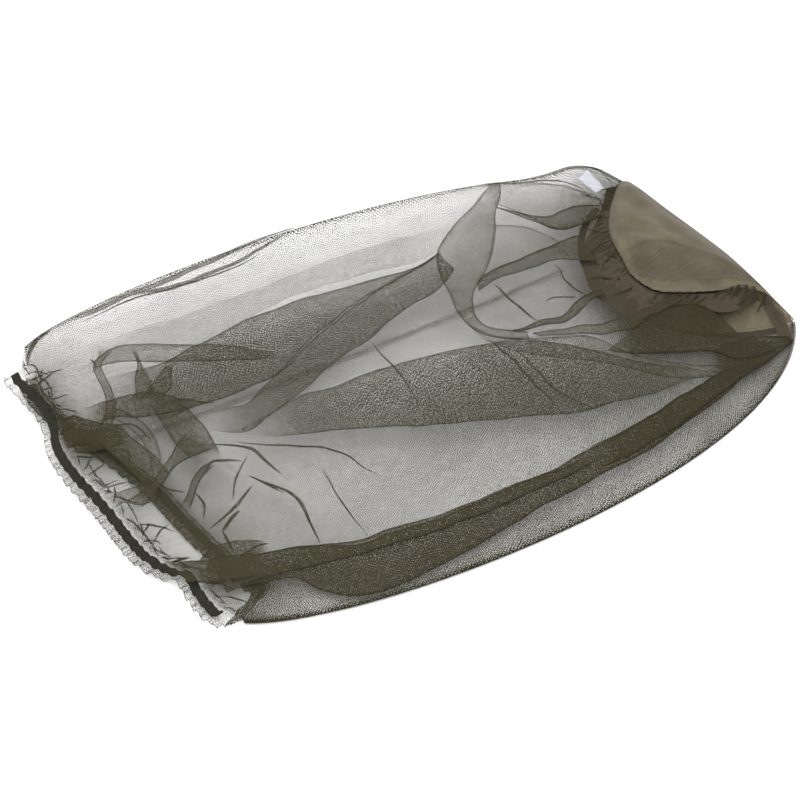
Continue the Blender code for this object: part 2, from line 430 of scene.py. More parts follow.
def net_plan(u, v, setback):
    """Where the net lies seen from above: u from neck to crown, v from far side fold to near one."""
    end = crown_round(v, CROWN_RADIUS + SEAM_GAP)
    neck_x = mix(FAR_SIDE[0][0], NEAR_SIDE[0][0], v ** 4) + setback
    low_x = mix(FAR_SIDE[1][0], NEAR_SIDE[1][0], v)
    high_x = mix(FAR_SIDE[2][0], NEAR_SIDE[2][0], v)
    x = bezier([neck_x, low_x, high_x - CROWN_BULGE * np.sin(math.pi * v), end[0]], u)
    y = bezier([mix(far[1], near[1], v) for far, near in zip(FAR_SIDE, NEAR_SIDE)] + [end[1]], u)
    return x, y


def upper_height(u, v):
    rise = bezier([0.0125, 0.024, 0.024, 0.036], u)
    return LAYER_Z + (1.0 - u) ** 2 * 0.00115 + rise * bow(v) + side_roll(u, v, UPPER_ROLL)


def fold_height(u, v):
    """Where the two layers meet along the nearer side fold: halfway between them."""
    return 0.5 * (LAYER_Z + FLAT_Z) + side_roll(u, np.where(v < 0.5, 0.0, 1.0), UPPER_ROLL)


# %% [markdown]
# ## Softness
#
# Cloth is never even. Two kinds of unevenness are enough here: slow ripples all over, and the
# gathers, many small folds side by side that run in from the neck's elastic and from the
# crown's seam and die out. Both are sums of waves from a fixed seed, so each run is the same.


# %% Ripples and gathers
def ripples(seed, count, shortest, longest):
    """A random field of slow waves, about -1 to 1, over a place in metres."""
    chance = np.random.default_rng(seed)
    turn = chance.uniform(0.0, math.pi, count)
    length = chance.uniform(shortest, longest, count)
    phase = chance.uniform(0.0, 2.0 * math.pi, count)
    kx, ky = 2.0 * math.pi * np.cos(turn) / length, 2.0 * math.pi * np.sin(turn) / length

    def field(x, y):
        return np.sin(np.outer(x, kx) + np.outer(y, ky) + phase).sum(1) / math.sqrt(count)

    return field


def gathers(seed, fewest, most, count=9):
    """Uneven folds side by side across the cloth, about -1 to 1."""
    chance = np.random.default_rng(seed)
    rate = chance.uniform(fewest, most, count)
    phase = chance.uniform(0.0, 1.0, count)
    sway = chance.uniform(-1.6, 1.6, count)

    def field(v, u=0.0):
        turns = np.outer(v, rate) + phase + np.multiply.outer(np.zeros_like(v) + u, sway)
        return np.tanh(np.sin(2.0 * math.pi * turns).sum(1) / math.sqrt(count) * 1.3)

    return field


NECK_GATHERS = gathers(11, 26.0, 62.0)
CROWN_GATHERS = gathers(23, 22.0, 48.0)
SLOW_RIPPLES = ripples(5, 22, 0.045, 0.16)
FINE_RIPPLES = ripples(8, 26, 0.012, 0.034)


# %% [markdown]
# ## The crown's outline
#
# The crown is a disc folded in half. Its lower half lies flat. The upper half is pushed up by
# the gathers under it, so its seam no longer follows the circle: it stands 34 mm high in the
# middle and drops to the fold line at both ends. No circle or wave has that line, so it is a
# smooth curve through a list of points, in millimetres, and the fold line is another.

# %% Seam and fold line of the upper half
UPPER_SEAM = [(238, 101, 4.5), (229, 105, 8.5), (205, 83, 15), (188, 64, 20), (173, 44, 25),
              (164, 27, 29), (157, 8, 32), (150, -13, 34), (153, -33, 34), (168, -41, 31),
              (196, -46, 24), (224, -42, 15), (237, -50, 8), (240.5, -77, 3)]
UPPER_FOLD = [(238.5, 101.5, 4), (234, 90, 11), (233, 56, 14), (234.5, 22, 15), (237, -9, 14),
              (240, -37, 9), (241, -60, 5), (241, -78, 2.8)]

seam_line = smooth_line(metres(UPPER_SEAM))
fold_line = smooth_line(metres(UPPER_FOLD))
print("upper seam", round(seam_line.length, 3), "m, fold line", round(fold_line.length, 3), "m")

# %% [markdown]
# ## The two layers of net
#
# Each layer is one grid. The upper one ends on the crown's raised seam, the lower one on the
# flat circle. At both side folds the layers come to the same line, so the tube is closed, and
# they round over within a few millimetres. Closeness rises where the cloth turns away from flat,
# along the side folds, and towards the neck and the crown, where the gathers draw threads together.


# %% Upper and lower layer
def steepness(x, y, z, along, across):
    """How far the cloth turns away from lying flat, 0 to 1, at each point of its grid."""
    shape = (across + 1, along + 1)
    grid = np.stack([x, y, z], -1).reshape(*shape, 3)
    normal = np.cross(np.gradient(grid, axis=1), np.gradient(grid, axis=0))
    length = np.linalg.norm(normal, axis=-1)
    return (1.0 - np.abs(normal[..., 2]) / np.maximum(length, 1e-12)).ravel()


def closing(v):
    """1 on the side folds, falling to 0 within a few millimetres of them."""
    edge = np.minimum(v, 1.0 - v) * CLOTH_WIDTH
    return 1.0 - np.sqrt(np.clip(1.0 - (1.0 - np.minimum(edge / 0.006, 1.0)) ** 2, 0.0, 1.0))


wave_line = smooth_line(NECK_WAVE)(np.linspace(0.0, 1.0, 300))


def neck_wave(u, v):
    """The neck's own bends: how far its edge stands off its straight line, dying out within the net."""
    return np.interp(v, wave_line[:, 0], wave_line[:, 1]) * smooth(1.0 - u / 0.12)


def upper_place(u, v):
    """The upper layer: a low dome that ends on the crown's raised seam."""
    x, y = net_plan(u, v, neck_wave(u, v))
    z = upper_height(u, v)
    z = mix(z, fold_height(u, v), closing(v))
    crown_x, crown_y = crown_round(v, CROWN_RADIUS + SEAM_GAP)
    crown_z = LAYER_Z + 0.036 * bow(v)
    seam = seam_line(v)
    reach = smooth((u - 0.72) / 0.28)
    x = x + (seam[:, 0] - crown_x) * reach
    y = y + (seam[:, 1] - crown_y) * reach
    z = z + (seam[:, 2] - crown_z) * reach
    inside = smooth(np.minimum(v, 1.0 - v) / 0.05)
    from_neck, from_crown = u * CLOTH_LENGTH, (1.0 - u) * CLOTH_LENGTH
    z = z + inside * (0.0012 * SLOW_RIPPLES(x, y) + 0.0004 * FINE_RIPPLES(x, y))
    z = z + inside * 0.0009 * NECK_GATHERS(v, u) * np.exp(-from_neck / 0.022)
    z = z + inside * 0.0018 * (CROWN_GATHERS(v, u) - 1.0) * np.exp(-from_crown / 0.020)
    return x, y, z


def lower_place(u, v):
    """The lower layer: flat on the table, set back at the neck, closed to the upper one at the sides."""
    aside = smooth(np.minimum(v, 1.0 - v) / 0.07)
    behind = mix(*BACK_SETBACK, smooth((v - 0.10) / 0.50))
    x, y = net_plan(u, v, mix(neck_wave(u, v), behind, aside))
    z = FLAT_Z + side_roll(u, v, LOWER_ROLL)
    z = mix(z, fold_height(u, v), closing(v))
    lift = np.maximum(0.5 + 0.5 * FINE_RIPPLES(x + 0.3, y), 0.0)
    drawn = 0.0006 * np.exp(-u * CLOTH_LENGTH / 0.02) * (1 + NECK_GATHERS(v, u))
    return x, y, z + aside * (0.0006 * lift + drawn)


def net_layer(name, place, along, across, base, steep):
    def shape(u, v):
        x, y, z = place(u, v)
        edge = np.minimum(v, 1.0 - v) * CLOTH_WIDTH
        turned = steepness(x, y, z, along, across)
        by_crown = 0.12 + 0.09 * smooth((0.35 - v) / 0.25)
        near_ends = (0.20 * np.exp(-u * CLOTH_LENGTH / 0.045)
                     + by_crown * np.exp(-(1 - u) * CLOTH_LENGTH / 0.03))
        drawn_tight = mix(0.68, 1.0, smooth((v - 0.10) / 0.18)) + 0.16 * smooth((v - 0.50) / 0.30)
        drawn_tight = drawn_tight + 0.14 * smooth((u - 0.55) / 0.30) * smooth((v - 0.25) / 0.20)
        at_sides = 0.35 * np.exp(-(edge / 0.0014) ** 2)
        return x, y, z, base * drawn_tight + steep * turned + near_ends + at_sides

    return cloth_piece(name, [shape], along, across, NET, (CLOTH_LENGTH, CLOTH_WIDTH))


net_upper = net_layer("net_upper", upper_place, 300, 260, 0.225, 0.6)
net_lower = net_layer("net_lower", lower_place, 200, 150, 0.215, 0.4)
print("net:", round(cloth_area(net_upper), 3), "and", round(cloth_area(net_lower), 3), "square metres")

# %% [markdown]
# ## Folds that lie on the net
#
# Spare net has fallen into long flat folds. Each is the cloth doubled back on itself: two
# leaves with a turned edge at either side. A fold is laid between two edges, each a smooth curve
# through a list of points in millimetres, as a flattened tube that rests on the layer below it.
# Its threads stand closer along its edges, as the cloth turns there. On the real veil the folds
# are one cloth with the net; here they are strips of their own, and most of them fade out at
# their ends.

# %% Finding the upper layer's height
upper_tree = BVHTree.FromObject(net_upper, bpy.context.evaluated_depsgraph_get())


def ground(x, y):
    """The upper layer's height at each place; beyond its edge, that of its nearest point."""
    heights = []
    for px, py in zip(x, y):
        hit = upper_tree.ray_cast(Vector((px, py, 0.2)), Vector((0.0, 0.0, -1.0)))[0]
        if hit is None:
            hit = upper_tree.find_nearest(Vector((px, py, 0.02)))[0]
        heights.append(hit.z)
    return np.array(heights)


# %% Laying a fold between two edges
FOLD_THICKNESS = 0.0014
FOLD_FADE = 0.16                   # the share of a fold's length over which an end fades


def fold_shape(one_edge, other_edge, lift=0.0006, closeness_and_shade=0.34, edge_closeness=0.32,
               edge_width=0.0012, ends=(0.0, 0.0), seed=1):
    """A fold between two edges in millimetres. ends says how far each end fades, 0 to 1."""
    one, other = smooth_line(metres(one_edge)), smooth_line(metres(other_edge))
    streaks = gathers(seed, 3.0, 9.0, 5)

    def shape(u, v):
        across, body = flat_tube(v, 0.45)
        a, b = one(u), other(u)
        width = np.linalg.norm(b - a, axis=1)
        x, y = mix(a, b, across[:, None]).T
        bumps = 0.5 + 0.5 * streaks(across, u * 0.4)
        full = 1.0 + body * (0.6 + 0.8 * bumps)
        z = ground(x, y) + lift + 0.5 * FOLD_THICKNESS * swelling(u, 0.3) * full
        from_edge = np.minimum(across, 1.0 - across) * width
        close = closeness_and_shade + edge_closeness * np.exp(-(from_edge / edge_width) ** 2)
        first, last = smooth(u / FOLD_FADE), smooth((1.0 - u) / FOLD_FADE)
        return x, y, z, close * (mix(1.0, first, ends[0]) * mix(1.0, last, ends[1]))

    shape.size = (0.5 * (one.length + other.length), 0.07)
    return shape


def fold_piece(name, shapes, along=120, across=28):
    sizes = [shape.size for shape in shapes]
    return cloth_piece(name, shapes, along, across, NET, sizes, weld=WELD)


# %% Long folds from the neck to the crown
fold_high = fold_shape(
    [(-196, 88), (-178, 84), (-150, 81), (-132, 84), (-108, 87), (-89, 89), (-64, 87), (-40, 85),
     (-4, 80), (27, 78), (56, 81)],
    [(-196, 34), (-178, 34), (-149, 32), (-132, 29), (-114, 30), (-99, 30), (-83, 38), (-62, 48),
     (-38, 57), (-16, 64), (24, 74), (56, 80)],
    closeness_and_shade=0.30, ends=(1.0, 0.0), seed=2)
fold_middle = fold_shape(
    [(-155, 21), (-142, 21), (-127, 17), (-111, 25), (-83, 37), (-62, 47), (-38, 56), (-16, 63),
     (24, 74), (56, 82)],
    [(-163, 12), (-140, -6), (-120, -1), (-93, 6), (-67, 17), (-47, 23), (-32, 26), (-15, 33),
     (6, 40), (30, 45), (55, 60)],
    lift=0.0012, closeness_and_shade=0.31, ends=(1.0, 0.0), seed=3)
fold_low = fold_shape(
    [(-140, 0), (-116, 1), (-94, 4), (-76, -1), (-62, -2), (-37, -4), (-13, -7), (8, -13),
     (34, -21), (50, -26), (75, -50), (110, -80), (152, -103)],
    [(-142, -6), (-120, -22), (-95, -33), (-51, -55), (-16, -71), (14, -83), (40, -94),
     (62, -99), (77, -101), (98, -104), (121, -104), (136, -104), (154, -104)],
    lift=0.0008, closeness_and_shade=0.30, ends=(1.0, 0.6), seed=4)
fold_near = fold_shape(
    [(-205, -90), (-193, -90), (-174, -95), (-150, -103), (-122, -117), (-97, -119), (-66, -123),
     (-41, -124), (-1, -126), (24, -124), (65, -121), (91, -118), (111, -114), (146, -107),
     (175, -97)],
    [(-206, -106), (-191, -110), (-168, -118), (-159, -131), (-146, -143), (-126, -149),
     (-99, -151), (-71, -150), (-38, -148), (-4, -145), (26, -142), (75, -138), (102, -132),
     (131, -127), (158, -117), (178, -105)],
    closeness_and_shade=0.46, ends=(0.3, 0.5), seed=5)
fold_near_end = fold_shape(
    [(30, -123), (45, -122), (65, -121), (91, -118), (111, -114), (130, -112), (146, -107),
     (170, -105), (199, -101)],
    [(20, -140), (35, -138), (54, -138), (77, -135), (104, -131), (132, -125), (158, -117),
     (178, -112), (212, -101)],
    lift=0.0016, closeness_and_shade=0.50, ends=(1.0, 0.0), seed=15)
fold_near_top = fold_shape(
    [(-210, -86), (-197, -89), (-178, -95), (-155, -103), (-121, -116), (-95, -118), (-70, -122),
     (-29, -125), (12, -128), (57, -127)],
    [(-213, -104), (-200, -107), (-186, -110), (-158, -117), (-127, -124), (-90, -130),
     (-50, -134), (-15, -136), (20, -134), (60, -131)],
    lift=0.0024, closeness_and_shade=0.42, edge_closeness=0.26, ends=(1.0, 1.0), seed=25)
# far_shade is no fold but a faint sheet, laid to darken the band between the far roll and the high fold:
# painted shade for the shade on the table there.
far_shade = fold_shape(
    [(-190, 118), (-161, 117), (-132, 116), (-110, 116), (-67, 112), (-12, 113), (41, 109),
     (76, 101)],
    [(-190, 104), (-163, 97), (-133, 86), (-95, 89), (-46, 92), (4, 86), (50, 83), (76, 90)],
    lift=0.0003, closeness_and_shade=0.10, edge_closeness=0.03, ends=(1.0, 1.0), seed=26)
far_hem = fold_shape(
    [(-200, 150), (-168, 150), (-138, 151), (-107, 153), (-75, 155), (-47, 159), (0, 161)],
    [(-200, 146.5), (-168, 146), (-138, 147), (-107, 149), (-75, 151.5), (-47, 156), (0, 159)],
    lift=0.0008, closeness_and_shade=0.26, edge_closeness=0.20, ends=(1.0, 1.0), seed=27)
far_loop = fold_shape(
    [(-150, 148.5), (-125, 146), (-104, 142.5), (-85, 143), (-65, 144), (-45, 150), (-20, 155)],
    [(-150, 147), (-125, 143.5), (-104, 140), (-85, 140.5), (-65, 141.5), (-45, 148), (-20, 154)],
    lift=0.0008, closeness_and_shade=0.26, edge_closeness=0.20, ends=(1.0, 1.0), seed=28)
fold_far = fold_shape(
    [(-205, 103), (-192, 103), (-178, 107), (-165, 104), (-133, 85), (-116, 75), (-99, 58),
     (-84, 40)],
    [(-205, 94), (-185, 95), (-161, 84), (-126, 63), (-108, 53), (-96, 46), (-88, 41), (-83, 38)],
    lift=0.0018, closeness_and_shade=0.24, ends=(1.0, 1.0), seed=6)
folds_long = fold_piece("net_folds_long", [
    fold_high, fold_middle, fold_low, fold_near, fold_near_top, fold_near_end, fold_far, far_shade,
    far_hem, far_loop])

# %% [markdown]
# ## The swag at the crown
#
# Near the crown the spare net hangs across the others in a loop: it comes down from the far
# side, turns, and runs back up towards the crown's seam. Shorter bands and a sweep of doubled
# net fill the corner between the loop, the near fold and the crown.

# %% Swag and its arcs
swag = fold_shape(
    [(135, 133), (119, 124), (102, 111), (75, 96), (54, 81), (43, 60), (36, 38), (29, 18),
     (27, 1), (30, -10), (38, -20), (55, -30)],
    [(137, 128), (128, 114), (113, 98), (100, 78), (84, 58), (66, 40), (50, 28), (42, 17),
     (37, 6), (37, -4), (43, -13), (57, -24)],
    lift=0.0022, closeness_and_shade=0.21, seed=7)
swag_band = fold_shape(
    [(56, 34), (62, 38), (78, 41), (105, 44), (123, 47), (133, 49), (151, 51)],
    [(52, 26), (60, 28), (72, 30), (87, 28), (103, 29), (116, 29), (126, 25), (141, 14)],
    lift=0.0028, closeness_and_shade=0.34, seed=8)
far_patch = fold_shape(
    [(128, 133), (138, 130), (157, 119), (172, 104), (194, 83)],
    [(119, 108), (124, 103), (133, 84), (137, 71), (143, 62), (158, 61), (181, 66)],
    lift=0.0016, closeness_and_shade=0.15, ends=(0.5, 0.3), seed=16)
far_band = fold_shape(
    [(118, 105), (127, 94), (136, 84), (146, 78), (160, 80), (184, 80)],
    [(119, 100), (127, 88), (136, 72), (143, 62), (158, 60), (181, 66)],
    lift=0.0026, closeness_and_shade=0.30, seed=17)
middle_patch = fold_shape(
    [(101, 91), (106, 86), (118, 80), (128, 70), (132, 58), (136, 48)],
    [(66, 40), (70, 38), (84, 41), (105, 43), (122, 46), (136, 46)],
    lift=0.0016, closeness_and_shade=0.11, ends=(0.7, 0.5), seed=18)
window_arc = fold_shape(
    [(50, -18), (54, -20), (69, -22), (82, -26), (94, -21), (105, -16), (123, -15)],
    [(49, -20), (53, -22), (68, -27), (81, -32), (96, -28), (109, -22), (122, -21)],
    lift=0.0026, closeness_and_shade=0.36, seed=19)
low_band = fold_shape(
    [(58, -28), (75, -36), (88, -40), (104, -45), (120, -46), (136, -45), (151, -44), (166, -44)],
    [(60, -33), (78, -43), (95, -52), (110, -56), (122, -56), (132, -52), (147, -50), (164, -48)],
    lift=0.0030, closeness_and_shade=0.24, seed=20)
dark_patch = fold_shape(
    [(122, -56), (129, -50), (138, -49), (155, -49), (175, -54), (187, -62), (189, -74),
     (192, -86), (209, -92)],
    [(92, -64), (99, -69), (115, -76), (131, -81), (152, -86), (164, -92), (170, -99),
     (185, -102), (214, -98)],
    lift=0.0020, closeness_and_shade=0.50, ends=(0.4, 0.4), seed=21)
low_sweep = fold_shape(
    [(28, 2), (32, -5), (40, -18), (61, -33), (89, -49), (101, -66), (120, -82), (143, -95),
     (170, -103), (205, -98)],
    [(30, -16), (35, -25), (43, -37), (62, -54), (83, -70), (103, -85), (124, -101), (147, -107),
     (172, -110), (208, -101)],
    lift=0.0012, closeness_and_shade=0.16, seed=22)
near_corner = fold_shape(
    [(158, -90), (172, -85), (185, -83), (203, -85), (217, -89), (225, -92)],
    [(142, -112), (158, -112), (172, -111), (190, -108), (210, -102), (225, -96)],
    lift=0.0012, closeness_and_shade=0.50, ends=(1.0, 0.0), seed=29)
folds_swag = fold_piece("net_folds_swag", [
    near_corner, swag, swag_band, far_patch, far_band, middle_patch, window_arc, low_band, dark_patch,
    low_sweep], 90, 24)

# %% [markdown]
# ## Folds at the neck
#
# Where the elastic draws the net together, short folds cross each other in the upper layer:
# strips that turn back on themselves. They are what makes the neck dark. Each has its two edges
# and the closeness of its threads.

# %% Short folds behind the neck
NECK_FOLDS = [
    ([(-184, 115), (-188, 106), (-195, 99), (-197, 89), (-198, 77), (-202, 66), (-213, 52),
      (-228, 47)],
     [(-178, 110), (-179, 105), (-188, 99), (-191, 93), (-192, 81), (-194, 69), (-199, 56),
      (-211, 43), (-224, 33)], 0.30),
    ([(-167, 102), (-169, 88), (-176, 77), (-182, 65), (-191, 61)],
     [(-165, 101), (-167, 85), (-169, 67), (-172, 60), (-183, 55)], 0.30),
    ([(-152, 79), (-163, 70), (-171, 66), (-180, 61)],
     [(-149, 77), (-154, 68), (-159, 59), (-166, 54), (-173, 50)], 0.30),
    ([(-214, 71), (-198, 68), (-182, 65), (-168, 58), (-158, 42), (-149, 32)],
     [(-220, 57), (-202, 52), (-189, 43), (-174, 38), (-162, 34), (-150, 30)], 0.34),
    ([(-236, 68), (-224, 71), (-216, 61), (-207, 50), (-197, 42)],
     [(-236, 42), (-233, 35), (-225, 31), (-215, 28), (-203, 28)], 0.55),
    ([(-177, 56), (-179, 35), (-181, 12), (-180, -5), (-178, -13)],
     [(-162, 52), (-160, 30), (-159, 10), (-161, -8), (-163, -19)], 0.26),
    ([(-221, 50), (-219, 27), (-215, 7), (-212, -16)],
     [(-203, 46), (-200, 25), (-196, 4), (-196, -20)], 0.28),
    ([(-231, -70), (-220, -74), (-208, -80), (-192, -88), (-176, -94)],
     [(-226, -88), (-216, -93), (-205, -100), (-192, -106), (-176, -112)], 0.45),
    ([(-240, 58), (-230, 60), (-221, 52), (-212, 40)],
     [(-240, 44), (-232, 42), (-224, 38), (-214, 32)], 0.60),
    ([(-166, 16), (-178, 10), (-188, 1), (-200, -8), (-212, -15), (-231, -19)],
     [(-158, -10), (-168, -8), (-182, -8), (-192, -11), (-201, -17), (-211, -23), (-225, -30)], 0.32),
    ([(-234, -10), (-227, -9), (-215, -12), (-205, -18)],
     [(-234, -16), (-229, -20), (-219, -27), (-209, -26)], 0.26),
    ([(-170, -19), (-179, -21), (-187, -26), (-195, -35), (-202, -40)],
     [(-169, -23), (-178, -26), (-186, -32), (-192, -39), (-199, -46)], 0.34),
    ([(-212, 64), (-205, 58), (-200, 44), (-197, 28), (-199, 10), (-205, -8)],
     [(-205, 66), (-196, 58), (-190, 44), (-188, 28), (-191, 10), (-199, -8)], 0.14),
    ([(-214, -80), (-200, -76), (-186, -78), (-170, -88)],
     [(-214, -100), (-204, -98), (-190, -97), (-172, -96)], 0.36),
]
folds_neck = fold_piece("net_folds_neck", [
    fold_shape(far, near, 0.0010 + 0.0003 * (k % 4), closeness_and_shade=share, edge_width=0.0009,
               ends=(1.0, 1.0), seed=60 + k)
    for k, (far, near, share) in enumerate(NECK_FOLDS)], 50, 20)

# %% [markdown]
# ## Creases
#
# Between the folds the net is pinched into sharp creases, one to three millimetres wide. They
# are laid like the folds, only very narrow: a width that swells from nothing and dies out again.
# Each has its path in millimetres and its width in metres.


# %% Creases
def crease_shape(path, width, lift=0.0016, closeness_and_shade=0.55):
    """A narrow closed strip along a path in metres."""
    line = smooth_line(path)

    def shape(u, v):
        turn = 2.0 * math.pi * v
        middle = line(u)
        ahead = line(np.minimum(u + 0.01, 1.0)) - line(np.maximum(u - 0.01, 0.0))
        ahead /= np.maximum(np.linalg.norm(ahead, axis=1), 1e-9)[:, None]
        swell = swelling(u, 0.6)
        reach = 0.5 * width * swell * np.cos(turn)
        x = middle[:, 0] - ahead[:, 1] * reach
        y = middle[:, 1] + ahead[:, 0] * reach
        z = ground(x, y) + lift * swell + 0.0005 * swell * np.sin(turn)
        return x, y, z, closeness_and_shade + 0.0 * u

    shape.size = (line.length, 0.004)
    return shape


CREASES = [
    ([(34, -16), (34, -29), (36, -43), (36, -57), (37, -69), (39, -83)], 0.0022),
    ([(42, -33), (44, -45), (44, -58), (46, -74), (52, -86), (60, -98)], 0.0018),
    ([(-31, 25), (-33, 8), (-33, -4), (-34, -26), (-36, -41)], 0.0012),
    ([(-150, -8), (-134, -22), (-121, -32), (-107, -43), (-98, -56), (-94, -69), (-87, -79)], 0.0016),
    ([(-163, -2), (-145, -19), (-141, -34), (-138, -49)], 0.0024),
    ([(-156, -39), (-148, -53), (-141, -65), (-139, -75), (-141, -89), (-143, -105)], 0.0022),
    ([(-115, -57), (-118, -85), (-116, -114)], 0.0010),
    ([(-184, 144), (-134, 143), (-116, 141), (-101, 139), (-83, 138), (-68, 139), (-46, 145)], 0.0016),
    ([(120, 140), (138, 131), (157, 121), (175, 108), (194, 85)], 0.0012),
    ([(114, 30), (114, 21), (109, 7), (110, -9), (114, -16)], 0.0012),
    ([(84, -6), (90, -5), (98, -8), (107, -12)], 0.0012),
    ([(66, 28), (65, 7), (67, -13), (70, -20)], 0.0018),
    ([(-194, -62), (-184, -60), (-173, -56), (-163, -51), (-157, -47)], 0.0022),
    ([(-189, -68), (-181, -64), (-172, -59)], 0.0026),
    ([(-173, -52), (-165, -40), (-157, -32), (-148, -24)], 0.0014),
    ([(-155, -40), (-151, -49), (-148, -56), (-144, -63)], 0.0018),
    ([(-176, -22), (-169, -18), (-162, -21), (-154, -26)], 0.0024),
    ([(-189, -34), (-189, -46), (-194, -54)], 0.0018),
    ([(-188, -67), (-189, -76), (-190, -86)], 0.0016),
    ([(-190, -90), (-178, -89), (-169, -90)], 0.0020),
    ([(-171, 50), (-160, 45), (-151, 35), (-142, 30)], 0.0024),
    ([(-202, 47), (-195, 40), (-192, 27), (-192, 20)], 0.0014),
    ([(-216, 16), (-215, 5), (-213, -8)], 0.0014),
    ([(-218, 28), (-211, 24), (-208, 19), (-213, 9)], 0.0016),
    ([(-203, -20), (-201, -26), (-194, -31)], 0.0014),
    ([(-193, 108), (-193, 97)], 0.0014),
    ([(-203, 147.5), (-214, 143.5), (-223, 136), (-229, 127)], 0.0034),
    ([(-232, 130), (-226, 121), (-227, 111), (-225, 99), (-229, 88)], 0.0014),
    ([(-235, 105), (-227, 106), (-218, 110), (-211, 110)], 0.0013),
    ([(-222, 118), (-229, 106), (-232, 93)], 0.0010),
    ([(-230, 91), (-224, 89), (-217, 89)], 0.0010),
    ([(-228, 89), (-231, 80), (-234, 74)], 0.0014),
    ([(-232, 27), (-233, 15), (-232, 3), (-232, -8)], 0.0012),
    ([(-234, 1), (-230, -2), (-219, -4)], 0.0012),
    ([(-228, -15), (-227, -26), (-228, -36)], 0.0010),
    ([(-230, -32), (-229, -44), (-228, -56), (-229, -65)], 0.0014),
    ([(-230, -45), (-222, -40)], 0.0014),
    ([(-228, -54), (-220, -49), (-212, -46)], 0.0012),
    ([(-229, -65), (-224, -68), (-215, -74)], 0.0014),
]


def crease_piece(name, shapes, along, across):
    sizes = [shape.size for shape in shapes]
    return cloth_piece(name, shapes, along, across, NET, sizes, weld=WELD)


creases = crease_piece("net_creases", [crease_shape(metres(path), width) for path, width in CREASES], 40, 8)


# %% Small gathers running in from the neck and from the crown
def gather_paths(seed, count, start, shortest, longest, inwards):
    """Short narrow creases that leave the neck or the crown and die out in the net."""
    chance = np.random.default_rng(seed)
    shapes = []
    for k in range(count):
        v = 0.04 + 0.92 * (k + chance.uniform(0.15, 0.85)) / count
        length = shortest + (longest - shortest) * chance.uniform() ** 2
        sway = chance.uniform(-0.05, 0.05)
        u = start + inwards * np.linspace(0.0, length, 6) / CLOTH_LENGTH
        x, y, _ = upper_place(u, np.clip(v + sway * np.linspace(0.0, 1.0, 6) ** 2, 0.02, 0.98))
        shapes.append(crease_shape(list(zip(x, y)), chance.uniform(0.0006, 0.0016),
                                   chance.uniform(0.0004, 0.0012), chance.uniform(0.35, 0.65)))
    return shapes


neck_gathers = gather_paths(31, 48, 0.0, 0.005, 0.030, 1.0)
crown_gathers = gather_paths(37, 46, 1.0, 0.012, 0.045, -1.0)
gathered = crease_piece("net_gathers", neck_gathers + crown_gathers, 20, 6)

# %% [markdown]
# ## The neck
#
# The net's lower edge is turned up into a casing with a narrow ruffle beyond it, and a flat
# black elastic runs inside. The elastic has drawn the casing into tight gathers.


# %% Casing, ruffle and elastic
CASING_DEPTH = 0.0124              # casing and ruffle together, from the end of the net
ELASTIC_WIDTH = 0.0056
ELASTIC_INSET = 0.0028             # from the casing's inner edge to the elastic
CASING_ENDS = (0.064, 0.985)       # where the casing begins and ends, as shares of the neck's width
RUFFLE = gathers(41, 30.0, 70.0)
SCALLOPS = gathers(43, 9.0, 15.0, 5)
PUCKER = (0.0002, 0.0006)          # height of the gathers, at the casing's inner edge and the ruffle's
UPPER_DROOP = 0.0030               # how far the upper ruffle hangs below the casing's inner edge


def neck_edge(v, upper):
    place = upper_place if upper else lower_place
    return place(np.zeros_like(v), v)


def casing_shape(upper):
    def shape(u, v):
        across, leaf = flat_tube(v, 0.4)
        along = mix(*CASING_ENDS, u)
        x, y, z = neck_edge(along, upper)
        pucker = NECK_GATHERS(along) * mix(*PUCKER, across ** 3)
        depth = CASING_DEPTH + 0.0013 * np.abs(SCALLOPS(u)) * across
        over = mix(0.0009, 0.0002, smooth((across - 0.66) / 0.15))
        droop = (UPPER_DROOP if upper else 0.0) * across
        height = z + pucker - droop + over * leaf + (0.0 if upper else 0.0011)
        beyond = smooth((across - 0.68) / 0.08)
        tight = (0.12 if upper else 0.40) + 0.34 * np.maximum(RUFFLE(u) - 0.30, 0.0) * beyond
        rim = 0.50 * np.exp(-((across - 1.0) / 0.030) ** 2) + 0.25 * np.exp(-(across / 0.03) ** 2)
        return x - depth * across, y, np.maximum(height, 0.0004), tight + rim

    return shape


def elastic_shape(upper, start, end):
    def shape(u, v):
        across, leaf = flat_tube(v, 0.4)
        along = mix(start, end, u)
        x, y, z = neck_edge(along, upper)
        depth = ELASTIC_INSET + ELASTIC_WIDTH * across
        share = depth / CASING_DEPTH
        pucker = NECK_GATHERS(along) * mix(*PUCKER, share ** 3)
        droop = (UPPER_DROOP if upper else 0.0) * share
        z = z + pucker - droop + 0.0006 * leaf + (0.0002 if upper else 0.0012)
        return x - depth, y, z, 1.0 + 0.0 * u

    return shape


casings = {}
for layer, upper in (("upper", True), ("lower", False)):
    casings[layer] = cloth_piece("casing_" + layer, [casing_shape(upper)], 420, 28, NET, (0.30, 0.030),
                                 weld=WELD)


# %% Elastic's finish
def elastic_finish():
    finish = Finish("knitted_elastic", Roughness=0.8, Specular_IOR_Level=0.15)
    place = finish.cloth_place()
    ribs = finish.node("ShaderNodeTexWave", {"bands_direction": "Y"},
                       {"Vector": place, "Scale": 260.0, "Distortion": 0.6, "Detail": 1.0})
    finish.feed("Base Color", finish.between(ribs, (0.003, 0.003, 0.0025), (0.014, 0.014, 0.011)))
    bump = finish.node("ShaderNodeBump", {}, {"Strength": 0.5, "Distance": 0.0003, "Height": ribs})
    finish.feed("Normal", bump)
    return finish.material


